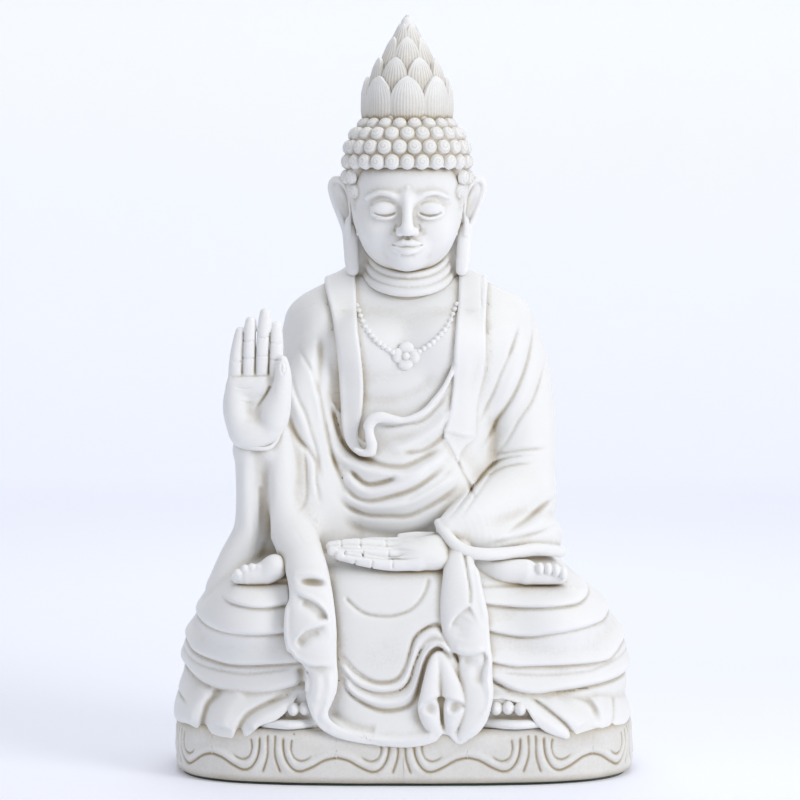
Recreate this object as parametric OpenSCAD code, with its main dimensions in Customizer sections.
// Seated robed figure with one raised hand, cast hollow in marble resin.
// The castings are separate: plinth, lap, torso, sleeves, hands, head, hair, bud finial and the
// undercut drapery pieces. Steel dowels join them, and a screwed plate and a felt close the base.
// Frame: +Z up, the figure faces -Y, origin at the centre of the felt's underside.

/* [Plinth] */
// Width of the plinth
plinth_w = 364; // [352:2:366]
// Depth of the plinth
plinth_d = 228; // [220:2:236]
// Height of the plinth casting above the felt
plinth_h = 42; // [38:1:44]
// Thickness of the felt under the plinth
felt_t = 2; // [1:0.5:2]

/* [Castings] */
// Wall thickness of the hollow castings
wall = 8; // [6:0.5:9]
// Height of the joint between the lap casting and the torso casting
waist_z = 176; // [174:1:178]
// Height of the joint between the torso casting and the neck
collar_z = 388; // [386:1:390]

/* [Head] */
// Half width of the skull under the hair
skull_r = 44; // [43:0.5:44.5]
// Height of the skull's centre
skull_z = 458; // [456:1:460]
// Height of the joint between hair cap and finial
crown_z = 514; // [513:1:516]
// Height of the bud finial
finial_h = 86; // [82:1:88]
// Radius of the bud finial at its base
finial_r = 36; // [32:1:37]
// Radius of one snail-shell hair curl
curl_r = 5.4; // [4.6:0.1:5.6]

/* [Necklace] */
// Radius of one necklace bead
bead_r = 2.3; // [2:0.1:2.5]
// Number of beads on each side of the pendant
beads_per_side = 14; // [10:1:15]

/* [Dowels] */
// Radius of the large dowels between plinth, lap and torso
big_dowel_r = 5; // [4:0.5:6]
// Radius of the small dowels in wrists, neck and finial
small_dowel_r = 3; // [2.5:0.5:3.5]
// Clearance of each dowel in its bore
dowel_gap = 0.15; // [0.1:0.05:0.3]

/* [Hidden] */
$fn = 48;

marble = [0.93, 0.925, 0.905];
steel = [0.62, 0.63, 0.65];
board = [0.55, 0.42, 0.3];
felt_green = [0.2, 0.28, 0.22];

plinth_z = felt_t + plinth_h;      // top of the plinth
plate_t = 6;                       // thickness of the closing plate
boss_r = big_dowel_r + 6;
dowel_half = 18;                   // how far a large dowel goes into each casting
joint_gap = 0.3;                   // bond line between castings
base_dowel_xy = [[-110, -30], [110, -30], [-110, 50], [110, 50]];
waist_dowel_xy = [[-50, 20], [50, 20]];
rib_t = 6;                         // ribs that tie the dowel bosses to the walls
rib_h = 16;
screw_xy = [for (x = [-125, 0, 125]) for (y = [-72, 72]) [x, y]];

// Stations of a casting's outer skin, bottom to top: [z, centre x, half width, front y, back y,
// squareness]. Squareness 2 is an ellipse.
lap_stations = [
  [plinth_z, 0, 172, -100, 98, 2.8], [60, 0, 178, -104, 103, 2.8],
  [85, 0, 179, -105, 105, 2.7], [112, 0, 174, -103, 105, 2.6],
  [134, 0, 163, -99, 104, 2.6], [154, 0, 148, -94, 102, 2.7],
  [168, 0, 135, -86, 98, 2.6], [waist_z, 0, 123, -75, 94, 2.5]];
torso_stations = [
  [waist_z + joint_gap, 0, 96, -50, 90, 2.4], [205, 0, 86, -48, 86, 2.4],
  [240, 0, 77, -45, 81, 2.3], [275, 0, 75, -45, 78, 2.3],
  [312, 2, 80, -45, 74, 2.3], [345, 3, 85, -38, 68, 2.3],
  [366, 3, 76, -24, 60, 2.2], [380, 3, 54, -12, 52, 2.1],
  [collar_z, 2, 38, -2, 44, 2]];
face_stations = [
  [404, 0, 17, -34, 2, 2], [409, 0, 26, -38, 16, 2], [422, 0, 36, -41, 34, 2.1],
  [440, 0, skull_r - 1.5, -42, 46, 2.2], [460, 0, skull_r, -41, 53, 2.2],
  [480, 0, skull_r - 1, -37.5, 53, 2.1], [496, 0, 35, -28, 44, 2], [506, 0, 24, -14, 33, 2],
  [510, 0, 10, 0, 20, 2]];

function lerp(a, b, t) = a + (b - a) * t;
function pick(list, i) = list[max(0, min(len(list) - 1, i))];
function spline(p0, p1, p2, p3, t) = 0.5 * (2 * p1 + (p2 - p0) * t
  + (2 * p0 - 5 * p1 + 4 * p2 - p3) * t * t + (3 * p1 - p0 - 3 * p2 + p3) * t * t * t);
// The station at u, which runs from 0 at the first to len - 1 at the last
function station(s, u) = let (i = floor(u))
  spline(pick(s, i - 1), pick(s, i), pick(s, i + 1), pick(s, i + 2), u - i);
function signed_power(v, e) = sign(v) * pow(abs(v), e);
// One closed loop of points round a station, drawn in by inset
function loop(s, sides, inset = 0) = let (mid = (s[3] + s[4]) / 2, half = (s[4] - s[3]) / 2)
  [for (i = [0 : sides - 1]) let (t = 360 * i / sides)
    [s[1] + (s[2] - inset) * signed_power(cos(t), 2 / s[5]),
     mid + (half - inset) * signed_power(sin(t), 2 / s[5]), s[0]]];
function stitch(a, b, sides) = [for (i = [0 : sides - 1]) let (j = (i + 1) % sides)
  each [[a + i, b + i, b + j], [a + i, b + j, a + j]]];
function reversed(faces) = [for (f = faces) [f[2], f[1], f[0]]];

// A solid skin through stations
module solid_loft(stations, rings, sides, inset = 0) {
  last = len(stations) - 1;
  loops = [for (k = [0 : rings]) loop(station(stations, last * k / rings), sides, inset)];
  polyhedron(points = [for (l = loops) each l], faces = concat(
    [for (k = [0 : rings - 1]) each stitch(k * sides, (k + 1) * sides, sides)],
    [[for (i = [0 : sides - 1]) i]],
    [[for (i = [sides - 1 : -1 : 0]) rings * sides + i]]));
}

// A hollow skin, open at its bottom, with its roof wall thick
module hollow_loft(stations, rings, sides) {
  last = len(stations) - 1;
  low = stations[0][0];
  high = stations[last][0];
  squeeze = (high - wall - low) / (high - low);
  outer = [for (k = [0 : rings]) loop(station(stations, last * k / rings), sides)];
  inner = [for (k = [0 : rings]) [for (p = loop(station(stations, last * k / rings), sides, wall))
    [p[0], p[1], low + (p[2] - low) * squeeze]]];
  first_in = (rings + 1) * sides;
  polyhedron(points = concat([for (l = outer) each l], [for (l = inner) each l]), faces = concat(
    [for (k = [0 : rings - 1]) each stitch(k * sides, (k + 1) * sides, sides)],
    [[for (i = [sides - 1 : -1 : 0]) rings * sides + i]],
    [for (k = [0 : rings - 1])
      each reversed(stitch(first_in + k * sides, first_in + (k + 1) * sides, sides))],
    [[for (i = [0 : sides - 1]) first_in + rings * sides + i]],
    reversed(stitch(0, first_in, sides))));
}

// A round-ended tapered bar between two points
module limb(p, q, r1, r2) {
  hull() {
    translate(p) sphere(r1, $fn = 20);
    translate(q) sphere(r2, $fn = 20);
  }
}

// A cylinder from one point to another
module rod(p, q, r) {
  d = q - p;
  translate(p) rotate([0, acos(d[2] / norm(d)), atan2(d[1], d[0])]) cylinder(h = norm(d), r = r);
}

module plinth_plan(inset = 0) {
  polygon([for (p = loop([0, 0, plinth_w / 2, -plinth_d / 2, plinth_d / 2, 3.2], 72, inset))
    [p[0], p[1]]]);
}

module plinth() {
  color(marble) difference() {
    union() {
      difference() {
        translate([0, 0, felt_t]) linear_extrude(plinth_h) plinth_plan();
        translate([0, 0, felt_t - 1]) linear_extrude(plinth_h - wall + 1) plinth_plan(wall + 5);
        translate([0, 0, felt_t - 1]) linear_extrude(plate_t + 1) plinth_plan(wall);
      }
      for (p = base_dowel_xy)
        translate([p[0], p[1], plinth_z - dowel_half - 6]) cylinder(h = dowel_half + 5, r = boss_r);
      for (p = screw_xy)
        translate([p[0], p[1], felt_t + plate_t]) cylinder(h = plinth_h - plate_t - 2, r = 7);
    }
    for (p = base_dowel_xy)
      translate([p[0], p[1], plinth_z - dowel_half]) cylinder(h = 40, r = big_dowel_r + dowel_gap);
    for (p = screw_xy)
      translate([p[0], p[1], felt_t]) cylinder(h = 22, r = 1.8);
  }
}

module bottom_plate() {
  color(board) difference() {
    translate([0, 0, felt_t]) linear_extrude(plate_t - joint_gap) plinth_plan(wall + 0.5);
    for (p = screw_xy) translate([p[0], p[1], 0]) {
      cylinder(h = 20, r = 2.2);
      translate([0, 0, felt_t - 0.01]) cylinder(h = 2.2, r1 = 4.4, r2 = 2.2);
    }
  }
}

// Countersunk wood screws that hold the plate
module plate_screws() {
  color(steel) for (p = screw_xy) translate([p[0], p[1], felt_t + 0.2]) {
    cylinder(h = 2, r1 = 4, r2 = 1.8);
    cylinder(h = 18, r = 1.75);
  }
}

module felt_sole() {
  color(felt_green) linear_extrude(felt_t) plinth_plan(5);
}

module dowels(places, z, r) {
  color(steel) for (p = places)
    translate([p[0], p[1], z - dowel_half + 0.5]) cylinder(h = 2 * dowel_half - 1, r = r);
}

module base_dowels() {
  dowels(base_dowel_xy, plinth_z, big_dowel_r);
}

module waist_dowels() {
  dowels(waist_dowel_xy, waist_z, big_dowel_r);
}

module lap_solid() {
  solid_loft(lap_stations, 12, 44);
}

module torso_solid() {
  solid_loft(torso_stations, 14, 36);
}

// The crossed legs under the robe, with the floor of the lap on top
module lap_and_legs() {
  color(marble) difference() {
    union() {
      hollow_loft(lap_stations, 12, 44);
      for (p = base_dowel_xy)
        translate([p[0], p[1], plinth_z]) cylinder(h = dowel_half + 6, r = boss_r);
      for (y = [-30, 50]) translate([-168, y - rib_t / 2, plinth_z]) cube([336, rib_t, rib_h]);
      for (p = waist_dowel_xy)
        translate([p[0], p[1], waist_z - dowel_half - 6]) cylinder(h = dowel_half + 4, r = boss_r);
    }
    for (p = base_dowel_xy)
      translate([p[0], p[1], 0]) cylinder(h = plinth_z + dowel_half, r = big_dowel_r + dowel_gap);
    for (p = waist_dowel_xy)
      translate([p[0], p[1], waist_z - dowel_half]) cylinder(h = 40, r = big_dowel_r + dowel_gap);
  }
}

// Robe hem that spills from under a knee over the plinth's edge. side is -1 or 1.
module knee_hem(side) {
  hem = [[36, 0, 184.5, -117, 110, 2.8], [48, 0, 186, -118, 110, 2.8],
         [66, 0, 184, -113, 109, 2.7], [84, 0, 180, -107, 106, 2.7]];
  color(marble) difference() {
    intersection() {
      solid_loft(hem, 6, 44);
      translate([side * 135, -20, 60]) cube([116, 240, 80], center = true);
    }
    solid_loft([for (s = lap_stations) s + [0, 0, 0.3, -0.3, 0.3, 0]], 12, 44);
    translate([0, 0, -1]) linear_extrude(plinth_z + 1) plinth_plan(-joint_gap);
  }
}

module right_knee_hem() {
  knee_hem(-1);
}

module left_knee_hem() {
  knee_hem(1);
}

// Toe tips that show under the hem, on their small slab
module toe_row(x, count) {
  color(marble) {
    translate([x, -107, plinth_z + 3]) cube([13 * count, 18, 5.4], center = true);
    for (i = [0 : count - 1])
      translate([x + 11 * (i - (count - 1) / 2), -108, plinth_z + 10]) sphere(5.2);
  }
}

module right_toes() {
  difference() {
    toe_row(-78, 2);
    lap_solid();
  }
}

module left_toes() {
  difference() {
    toe_row(74, 3);
    lap_solid();
  }
}

// Upturned foot lying on the thigh: heel inward, toes outward. side is -1 or 1.
module foot(side) {
  toe_x = side * 124;
  color(marble) difference() {
    union() {
      limb([side * 66, -66, 174], [toe_x - side * 14, -64, 168], 11, 11);
      for (i = [0 : 3])
        limb([toe_x - side * 8, -72 + 8 * i, 168], [toe_x, -72 + 8 * i, 169], 4.4, 4);
    }
    lap_solid();
    torso_solid();
  }
}

module right_foot() {
  foot(-1);
}

module left_foot() {
  foot(1);
}

// Apron of cloth that falls from the lap between the knees
module front_drape() {
  color(marble) difference() {
    union() {
      hull() for (s = [-1, 1]) {
        translate([s * 52, -62, 174]) sphere(10, $fn = 20);
        translate([s * 58, -100, 148]) sphere(10, $fn = 20);
        translate([s * 60, -106, 60]) sphere(12, $fn = 20);
      }
      hull() for (s = [-1, 1]) {
        translate([s * 60, -106, 62]) sphere(12, $fn = 20);
        translate([s * 40, -112, 46]) sphere(8, $fn = 20);
      }
    }
    lap_solid();
    torso_solid();
    translate([0, 0, -1]) linear_extrude(plinth_z + 1) plinth_plan(-joint_gap);
  }
}

// Long end of the robe that falls in zigzag folds beside the apron
module sash_fall(path, r) {
  difference() {
    for (i = [0 : len(path) - 2]) limb(path[i], path[i + 1], r, r);
    lap_solid();
    torso_solid();
    translate([0, 0, -1]) linear_extrude(plinth_z + 1) plinth_plan(-joint_gap);
  }
}

module right_sash_fall() {
  color(marble) sash_fall(
    [[-66, -72, 176], [-70, -98, 148], [-66, -104, 110], [-56, -106, 76], [-50, -108, 54]], 13);
}

module left_sash_fall() {
  color(marble) sash_fall(
    [[42, -72, 176], [46, -98, 148], [50, -104, 110], [44, -106, 76], [40, -108, 54]], 14);
}

module torso() {
  color(marble) difference() {
    union() {
      hollow_loft(torso_stations, 14, 36);
      for (p = waist_dowel_xy)
        translate([p[0], p[1], waist_z + joint_gap]) cylinder(h = dowel_half + 6, r = boss_r);
      translate([-86, waist_dowel_xy[0][1] - rib_t / 2, waist_z + joint_gap])
        cube([172, rib_t, rib_h]);
      translate([2, 20, collar_z - 26]) cylinder(h = 22, r = small_dowel_r + 7);
    }
    for (p = waist_dowel_xy)
      translate([p[0], p[1], 0]) cylinder(h = waist_z + dowel_half, r = big_dowel_r + dowel_gap);
    translate([2, 20, collar_z - 20]) cylinder(h = 40, r = small_dowel_r + dowel_gap);
  }
}

right_wrist = [-116, -58, 268];
left_wrist = [30, -78, 187];

// Sleeve of the raised arm: shoulder, elbow, cuff, and the cloth that hangs to the lap
module right_sleeve() {
  color(marble) difference() {
    union() {
      limb([-74, 20, 346], [-92, 12, 226], 25, 28);
      limb([-92, 12, 226], [-114, -44, 254], 26, 18);
      hull() {
        translate([-114, -44, 252]) sphere(18, $fn = 20);
        translate([-126, -30, 172]) sphere(13, $fn = 20);
        translate([-84, -40, 178]) sphere(16, $fn = 20);
      }
    }
    torso_solid();
    translate([0, 0, -0.3]) lap_solid();
    rod(right_wrist - [0, -10, 14], right_wrist + [0, 0, 14], small_dowel_r + dowel_gap);
    translate([-116, -58, 283]) sphere(20.3, $fn = 32);
  }
}

// Raised open hand, palm to the front
module right_hand() {
  w = right_wrist + [0, -2, 0];
  color(marble) difference() {
    union() {
      hull() {
        translate(w + [-1, 0, 10]) sphere(14, $fn = 20);
        translate(w + [-11, 0, 46]) sphere(9, $fn = 20);
        translate(w + [11, 0, 44]) sphere(9, $fn = 20);
      }
      limb(w + [-15, -2, 48], w + [-13, -3, 78], 5.6, 4.4);
      limb(w + [-6, -1, 50], w + [-3, -2, 90], 5.8, 4.6);
      limb(w + [3, 0, 51], w + [7, -1, 95], 5.8, 4.6);
      limb(w + [12, 1, 48], w + [15, 0, 86], 5.6, 4.4);
      limb(w + [14, -6, 26], w + [20, -9, 58], 8, 5.4);
    }
    rod(right_wrist - [0, -10, 14], right_wrist + [0, 0, 14], small_dowel_r + dowel_gap);
  }
}

module right_wrist_dowel() {
  color(steel) rod(right_wrist - [0, -9, 13], right_wrist + [0, 0, 13], small_dowel_r);
}

// Sleeve of the resting arm, with its turned cuff
module left_sleeve() {
  color(marble) difference() {
    union() {
      limb([80, 20, 346], [94, 10, 236], 25, 28);
      limb([94, 10, 236], [92, -10, 202], 28, 26);
      limb([92, -10, 202], [46, -64, 190], 26, 13);
    }
    torso_solid();
    translate([0, 0, -0.3]) lap_solid();
    rod(left_wrist, left_wrist + [24, 14, 2], small_dowel_r + dowel_gap);
    translate([38, -74, 187]) sphere(13.3, $fn = 32);
  }
}

// Hand at rest in the lap, palm up, fingers across
module left_hand() {
  color(marble) difference() {
    union() {
      hull() {
        translate([34, -76, 186]) sphere(11, $fn = 20);
        translate([-2, -78, 185]) sphere(8.5, $fn = 20);
        translate([-2, -68, 187]) sphere(7, $fn = 20);
      }
      limb([0, -86, 182], [-40, -84, 184], 5, 4);
      limb([0, -79, 185], [-50, -76, 186], 5, 4);
      limb([0, -72, 187], [-46, -69, 188], 5, 4);
      limb([6, -64, 191], [-34, -62, 191], 4.6, 4);
    }
    front_drape();
    lap_solid();
    torso_solid();
    rod(left_wrist, left_wrist + [24, 14, 2], small_dowel_r + dowel_gap);
  }
}

module left_wrist_dowel() {
  d = [24, 14, 2];
  color(steel) rod(left_wrist + 0.05 * d, left_wrist + 0.95 * d, small_dowel_r);
}

// Folded edge of the shawl that lies on the chest. points run from the shoulder down.
module shawl_band(points) {
  difference() {
    for (i = [0 : len(points) - 2]) hull() {
      translate(points[i]) scale([1, 0.5, 0.6]) sphere(14, $fn = 20);
      translate(points[i + 1]) scale([1, 0.5, 0.6]) sphere(14, $fn = 20);
    }
    torso_solid();
  }
}

module right_shawl_band() {
  color(marble) shawl_band(
    [[-46, 14, 384], [-50, -26, 362], [-48, -46, 320], [-46, -50, 276]]);
}

module left_shawl_band() {
  color(marble) shawl_band(
    [[52, 14, 384], [54, -26, 362], [54, -46, 320], [50, -50, 262]]);
}

pendant_at = [1, -49, 330];
strand_top = [38, -22, 366];

// Hanging strand: s runs from 0 at the pendant to 1 at the shawl
function strand(s, side) = [pendant_at[0] + side * strand_top[0] * s,
  lerp(pendant_at[1], strand_top[1], s * s), lerp(pendant_at[2], strand_top[2], pow(s, 1.5))];

module necklace_beads() {
  color(marble) for (side = [-1, 1]) for (i = [1 : beads_per_side])
    translate(strand(0.17 + 0.83 * (i - 1) / (beads_per_side - 1), side)) sphere(bead_r * 0.55);
}

module flower_pendant() {
  color(marble) translate(pendant_at + [0, -3, 0]) rotate([90, 0, 0]) {
    cylinder(h = 4.5, r = 2.6);
    for (a = [0 : 90 : 359]) rotate(a) translate([6, 0, 0]) cylinder(h = 3.2, r = 4.3);
  }
}

// Neck with its three beauty rings, a spigot casting under the head
module neck() {
  color(marble) difference() {
    translate([2, 18, 0]) rotate_extrude() {
      translate([0, collar_z + joint_gap]) square([26, 20]);
      for (i = [0 : 2]) translate([29.5 - 1.5 * i, collar_z + 4 + 6 * i]) {
        circle(3.4);
        translate([-12, -3.4]) square([12, 6.8]);
      }
    }
    translate([2, 20, collar_z - 20]) cylinder(h = 60, r = small_dowel_r + dowel_gap);
    head_solid();
  }
}

module neck_dowel() {
  color(steel) translate([2, 20, collar_z - 19]) cylinder(h = 46, r = small_dowel_r);
}

module head_solid() {
  solid_loft(face_stations, 16, 40);
}

// Face and skull
module head() {
  color(marble) difference() {
    union() {
      head_solid();
      hull() {
        translate([0, -40, 446]) sphere(4, $fn = 20);
        translate([0, -44, 434]) sphere(5, $fn = 20);
      }
    }
    translate([2, 20, collar_z - 20]) cylinder(h = 48, r = small_dowel_r + dowel_gap);
    translate([0, 12, crown_z - 22]) cylinder(h = 60, r = small_dowel_r + dowel_gap);
  }
}

// Long-lobed ear. side is -1 or 1.
module ear(side) {
  color(marble) difference() {
    union() {
      hull() {
        translate([side * 50, 8, 468]) sphere(6, $fn = 20);
        translate([side * 60, 10, 462]) sphere(4, $fn = 20);
        translate([side * 48, 4, 438]) sphere(5, $fn = 20);
      }
      limb([side * 48, 4, 438], [side * 46, 0, 402], 5, 6);
    }
    head_solid();
    torso_solid();
  }
}

module right_ear() {
  ear(-1);
}

module left_ear() {
  ear(1);
}

cap_centre = [0, 8, skull_z + 6];
hairline_z = skull_z + 23;
nape_z = skull_z - 26;
cap_size = [47, 51, 51];

// Stations of the egg shape that carries the curls, from the nape to just above the crown
cap_stations = [for (e = [-46 : 9 : 89]) [cap_centre[2] + cap_size[2] * sin(e), 0,
  cap_size[0] * cos(e), cap_centre[1] - cap_size[1] * cos(e),
  cap_centre[1] + cap_size[1] * cos(e), 2]];

// Skull cap that carries the curls
module hair_cap() {
  color(marble) difference() {
    solid_loft(cap_stations, len(cap_stations) - 1, 40);
    head_solid();
    translate([-80, -92, 400]) cube([160, 74, hairline_z - 400]);
    translate([-80, -20, 400]) cube([160, 110, nape_z - 400]);
    translate([0, 12, crown_z - 22]) cylinder(h = 60, r = small_dowel_r + dowel_gap);
    translate([-60, -60, crown_z]) cube([120, 120, 20]);
  }
}

// Where curl rows sit: [elevation on the cap, first azimuth, last azimuth]. 0 is the figure's left.
curl_rows = [for (i = [0 : 7]) let (e = 58 - 12.5 * i)
  [e, e > 15 ? -90 : -35 + 5 * max(0, i - 4), e > 15 ? 270 : 215 - 5 * max(0, i - 4)]];

// One curl: a dome that stands on the cap
module curl() {
  rotate_extrude() intersection() {
    circle(curl_r);
    square(curl_r);
  }
}

module hair_curls() {
  color(marble) for (k = [0 : len(curl_rows) - 1]) {
    row = curl_rows[k];
    span = row[2] - row[1];
    step = 2.15 * curl_r / (cap_size[0] * cos(row[0])) * 180 / PI;
    count = floor(span / step);
    for (i = [0 : count - 1]) {
      a = row[1] + span * (i + (k % 2) / 2) / count;
      out = [cos(row[0]) * cos(a), cos(row[0]) * sin(a), sin(row[0])];
      translate(cap_centre + [for (j = [0 : 2]) (cap_size[j] + 0.4) * out[j]])
        rotate([0, 90 - row[0], a]) curl();
    }
  }
}

// Lotus bud on the crown, in stepped tiers of petals
module lotus_finial() {
  tiers = 5;
  color(marble) difference() {
    translate([0, 12, crown_z]) rotate_extrude() polygon(concat([[0, 0]],
      [for (i = [0 : tiers - 1]) let (z = finial_h * i / tiers, r = finial_r * (1 - i / tiers))
        each [[max(r, 3), z + (i == 0 ? 0 : 2)], [max(r, 3) - 1.5, z + 14]]], [[0, finial_h]]));
    translate([0, 12, crown_z - 20]) cylinder(h = 42, r = small_dowel_r + dowel_gap);
  }
}

module finial_dowel() {
  color(steel) translate([0, 12, crown_z - 21]) cylinder(h = 42, r = small_dowel_r);
}

plinth();
bottom_plate();
plate_screws();
felt_sole();
base_dowels();
lap_and_legs();
right_knee_hem();
left_knee_hem();
right_toes();
left_toes();
right_foot();
left_foot();
front_drape();
right_sash_fall();
left_sash_fall();
torso();
waist_dowels();
right_sleeve();
right_hand();
right_wrist_dowel();
left_sleeve();
left_hand();
left_wrist_dowel();
right_shawl_band();
left_shawl_band();
necklace_beads();
flower_pendant();
neck();
neck_dowel();
head();
right_ear();
left_ear();
hair_cap();
hair_curls();
lotus_finial();
finial_dowel();
